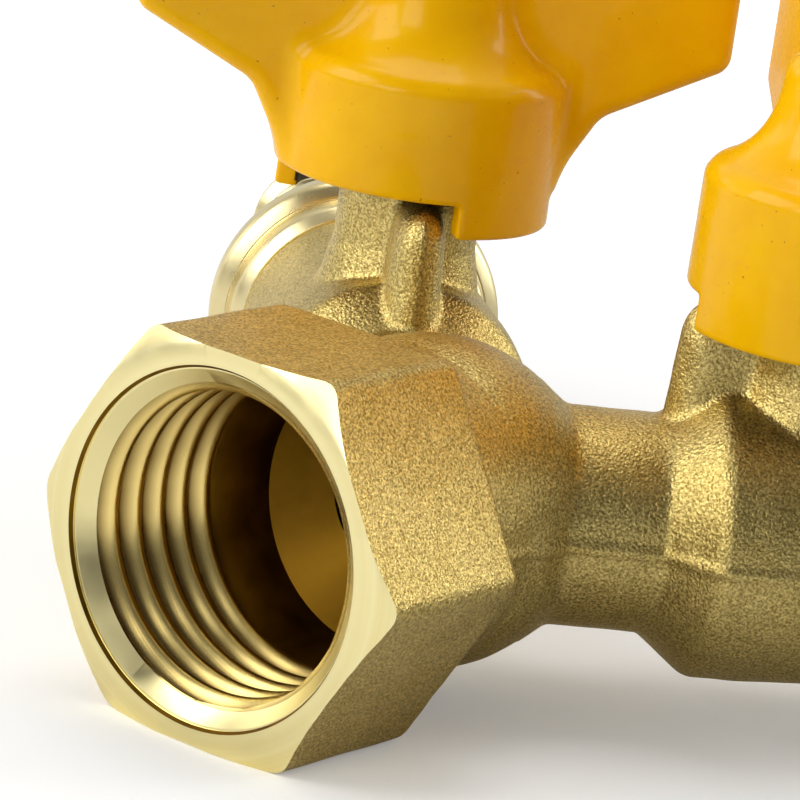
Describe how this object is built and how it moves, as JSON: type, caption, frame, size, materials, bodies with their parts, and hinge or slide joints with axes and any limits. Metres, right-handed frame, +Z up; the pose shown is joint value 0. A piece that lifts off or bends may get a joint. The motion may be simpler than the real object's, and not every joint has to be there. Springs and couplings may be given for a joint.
{
  "type": "gas ball valve",
  "caption": "Y-shaped brass gas ball valve: threaded hex inlet, a quarter-turn butterfly handle on each branch, hose nozzle outlets.",
  "frame": {"origin": "bottom centre of the bounding box, on the surface that the valve stands on", "axes": "+Z up along both stems, +Y from the inlet towards the outlets, +X to the right branch"},
  "size_m": [0.1126, 0.0776, 0.0499],
  "materials": {
    "forged_brass": "blasted forging, machined at the inlet",
    "bright_brass": "turned and polished",
    "turned_brass": "turned",
    "yellow_enamel": "gloss enamel",
    "chrome": "polished",
    "ptfe": "satin",
    "rubber": "matte",
    "steel": "zinc plated"
  },
  "bodies": {
    "valve_body": {"body": "forged_brass", "left_inner_seat": "ptfe", "left_outer_seat": "ptfe", "left_thrust_washer": "ptfe", "left_outlet_nozzle": "bright_brass", "left_nozzle_o_ring": "rubber", "right_inner_seat": "ptfe", "right_outer_seat": "ptfe", "right_thrust_washer": "ptfe", "right_outlet_nozzle": "bright_brass", "right_nozzle_o_ring": "rubber"},
    "left_rotor": {"left_ball": "chrome", "left_stem": "turned_brass", "left_stem_o_ring_lower": "rubber", "left_stem_o_ring_upper": "rubber", "left_handle": "yellow_enamel", "left_screw_washer": "steel", "left_handle_screw": "steel"},
    "right_rotor": {"right_ball": "chrome", "right_stem": "turned_brass", "right_stem_o_ring_lower": "rubber", "right_stem_o_ring_upper": "rubber", "right_handle": "yellow_enamel", "right_screw_washer": "steel", "right_handle_screw": "steel"}
  },
  "joints": [
    {"name": "left_handle_turn", "type": "hinge", "parent": "valve_body", "child": "left_rotor", "pos_m": [-0.01736, -0.00007, 0.0125], "axis": [0, 0, 1], "range_deg": [0, 90]},
    {"name": "right_handle_turn", "type": "hinge", "parent": "valve_body", "child": "right_rotor", "pos_m": [0.01736, -0.00007, 0.0125], "axis": [0, 0, 1], "range_deg": [0, 90]}
  ]
}
